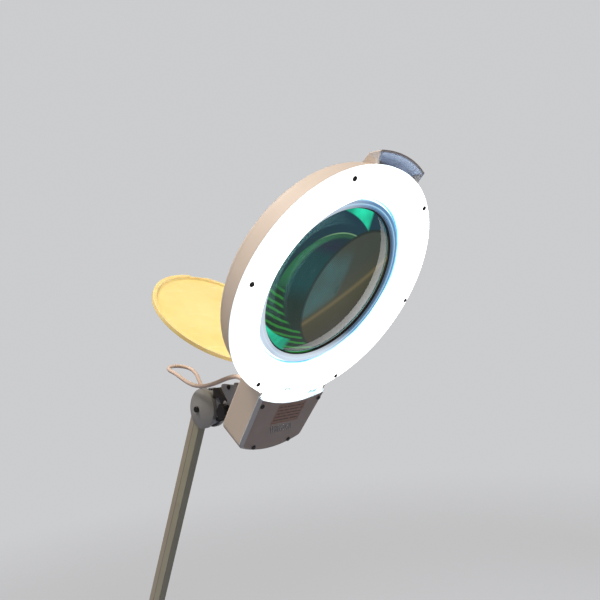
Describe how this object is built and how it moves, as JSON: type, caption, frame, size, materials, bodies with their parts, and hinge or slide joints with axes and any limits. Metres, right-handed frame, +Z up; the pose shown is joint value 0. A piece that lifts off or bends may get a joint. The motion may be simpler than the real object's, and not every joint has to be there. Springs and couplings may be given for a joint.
{
  "type": "magnifying lamp",
  "caption": "Bench magnifying lamp: a round, ring-lit lens with a hinged cover, on a swivelling knuckle and a folding channel arm that clamps to a bench.",
  "frame": {"origin": "middle of the rubber pad on the clamp's upper jaw, on the face that rests on the bench top", "axes": "+Z up from the bench; +X the way the arm reaches and the lens looks; Y across, with the tilt knob on the -Y side"},
  "size_m": [0.5734, 0.268, 1.1392],
  "materials": {
    "clamp_paint": "light grey paint over an iron casting",
    "rubber_black": "matte",
    "nylon": "natural nylon",
    "zinc_steel": "zinc plated",
    "arm_paint": "pale grey satin paint",
    "bracket_paint": "pale grey satin paint",
    "cover_plastic": "pale grey, semi-gloss",
    "spring_steel": "spring wire",
    "black_iron": "black paint",
    "black_plastic": "fine texture",
    "bright_steel": "bright plating",
    "black_screw": "blackened",
    "housing_plastic": "warm white, fine texture",
    "reflector_white": "white",
    "lamp_glass": "white coated, lit",
    "tube_end": "white",
    "clear_cover": "clear, finely ribbed acrylic",
    "lens_glass": "polished, green coating",
    "ring_white": "white",
    "board_green": "laminate",
    "choke_steel": "laminated steel",
    "label_paper": "bare label",
    "flap_plastic": "cream, semi-gloss",
    "lead_pvc": "pale grey sheath"
  },
  "bodies": {
    "clamp": {"clamp_frame": "clamp_paint", "jaw_pad": "rubber_black", "socket_bush": "nylon"},
    "clamp_foot": {"clamp_foot": "zinc_steel"},
    "clamp_screw": {"clamp_screw": "zinc_steel"},
    "tommy_bar": {"tommy_bar": "zinc_steel"},
    "base_yoke": {"base_yoke": "bracket_paint", "base_pins": "zinc_steel"},
    "lower_front": {"lower_front_channel": "arm_paint", "lower_spring_anchor": "zinc_steel", "lower_spring": "spring_steel"},
    "lower_rear": {"lower_rear_channel": "arm_paint", "inlet_grommet": "rubber_black"},
    "elbow": {"elbow_bracket": "bracket_paint", "elbow_pins": "zinc_steel", "elbow_cover_left": "cover_plastic", "elbow_cover_right": "cover_plastic", "elbow_bolt": "black_screw"},
    "upper_front": {"upper_front_channel": "arm_paint", "upper_spring_anchor": "zinc_steel", "upper_spring": "spring_steel"},
    "upper_rear": {"upper_rear_channel": "arm_paint"},
    "knuckle": {"knuckle_bracket": "bracket_paint", "knuckle_pins": "zinc_steel", "knuckle_cover_left": "cover_plastic", "knuckle_cover_right": "cover_plastic", "knuckle_bolt": "black_screw"},
    "neck": {"neck": "black_iron", "swivel_pin": "zinc_steel", "swivel_nut": "black_screw"},
    "head": {"rear_housing": "housing_plastic", "reflector": "reflector_white", "ring_tube": "lamp_glass", "tube_cap": "tube_end", "tube_holders": "spring_steel", "diffuser_cover": "clear_cover", "cover_screws": "black_screw", "lens": "lens_glass", "lens_gasket": "rubber_black", "lens_ring": "ring_white", "lens_clips": "bright_steel", "box_cover": "housing_plastic", "box_screws": "black_screw", "label_plate": "label_paper", "ballast_board": "board_green", "ballast_choke": "choke_steel", "ballast_capacitors": "black_plastic", "terminal_block": "nylon", "switch_frame": "black_plastic", "tilt_bracket": "bracket_paint", "bracket_screws": "black_screw", "cheek_screws": "black_screw", "tilt_bolt": "zinc_steel", "tilt_washer": "bright_steel", "flap_pin": "zinc_steel", "lead_gland": "black_plastic", "head_lead": "lead_pvc"},
    "tilt_knob": {"tilt_knob": "black_plastic"},
    "lens_flap": {"lens_flap": "flap_plastic"},
    "switch_rocker": {"switch_rocker": "black_plastic"}
  },
  "joints": [
    {"name": "clamp_travel", "type": "slide", "parent": "clamp", "child": "clamp_foot", "axis": [0, 0, 1], "range_m": [-0.022, 0.022]},
    {"name": "clamp_screw_turn", "type": "hinge", "parent": "clamp_foot", "child": "clamp_screw", "pos_m": [0.003, 0, -0.06], "axis": [0, 0, 1], "range_deg": [-3962, 3962]},
    {"name": "tommy_bar_slide", "type": "slide", "parent": "clamp_screw", "child": "tommy_bar", "axis": [1, 0, 0], "range_m": [-0.0185, 0.0185]},
    {"name": "base_swivel", "type": "hinge", "parent": "clamp", "child": "base_yoke", "pos_m": [0, 0, 0.0415], "axis": [0, 0, 1], "continuous": true},
    {"name": "lower_arm_tilt", "type": "hinge", "parent": "base_yoke", "child": "lower_front", "pos_m": [0.00555, 0, 0.08219], "axis": [0, 1, 0], "range_deg": [-35, 40], "deforming": ["lower_spring"]},
    {"name": "lower_rear_tilt", "type": "hinge", "parent": "base_yoke", "child": "lower_rear", "pos_m": [-0.00555, 0, 0.07921], "axis": [0, 1, 0], "range_deg": [-35.3, 40.3]},
    {"name": "elbow_level", "type": "hinge", "parent": "lower_front", "child": "elbow", "pos_m": [-0.12441, 0, 0.43927], "axis": [0, 1, 0], "range_deg": [-40.3, 35.3]},
    {"name": "upper_arm_tilt", "type": "hinge", "parent": "elbow", "child": "upper_front", "pos_m": [-0.1249, 0, 0.46072], "axis": [0, 1, 0], "range_deg": [-28, 62], "deforming": ["upper_spring"]},
    {"name": "upper_rear_tilt", "type": "hinge", "parent": "elbow", "child": "upper_rear", "pos_m": [-0.13303, 0, 0.46885], "axis": [0, 1, 0], "range_deg": [-28.3, 62.3]},
    {"name": "knuckle_level", "type": "hinge", "parent": "upper_front", "child": "knuckle", "pos_m": [0.0535, 0, 0.79624], "axis": [0, 1, 0], "range_deg": [-62.3, 28.3]},
    {"name": "head_swivel", "type": "hinge", "parent": "knuckle", "child": "neck", "pos_m": [0.088, 0, 0.79415], "axis": [0, 0, 1], "range_deg": [-45, 45], "deforming": ["head_lead"]},
    {"name": "head_tilt", "type": "hinge", "parent": "neck", "child": "head", "pos_m": [0.1125, 0, 0.78855], "axis": [0, 1, 0], "range_deg": [-28, 50], "deforming": ["head_lead"]},
    {"name": "tilt_knob_turn", "type": "hinge", "parent": "head", "child": "tilt_knob", "pos_m": [0.1125, -0.015, 0.78855], "axis": [0, 1, 0], "range_deg": [-720, 0]},
    {"name": "lens_cover_swing", "type": "hinge", "parent": "head", "child": "lens_flap", "pos_m": [0.20045, 0, 0.82071], "axis": [0, 1, 0], "range_deg": [0, 84.5]},
    {"name": "switch_rock", "type": "hinge", "parent": "head", "child": "switch_rocker", "pos_m": [0.16803, 0.038, 0.79333], "axis": [0, 1, 0], "range_deg": [-14, 0]}
  ],
  "couplings": [
    {"joint": "clamp_screw_turn", "follows": "clamp_travel", "rad_per_m": 3141.6},
    {"joint": "lower_rear_tilt", "follows": "lower_arm_tilt", "ratio": 1},
    {"joint": "elbow_level", "follows": "lower_arm_tilt", "ratio": -1},
    {"joint": "upper_rear_tilt", "follows": "upper_arm_tilt", "ratio": 1},
    {"joint": "knuckle_level", "follows": "upper_arm_tilt", "ratio": -1}
  ]
}
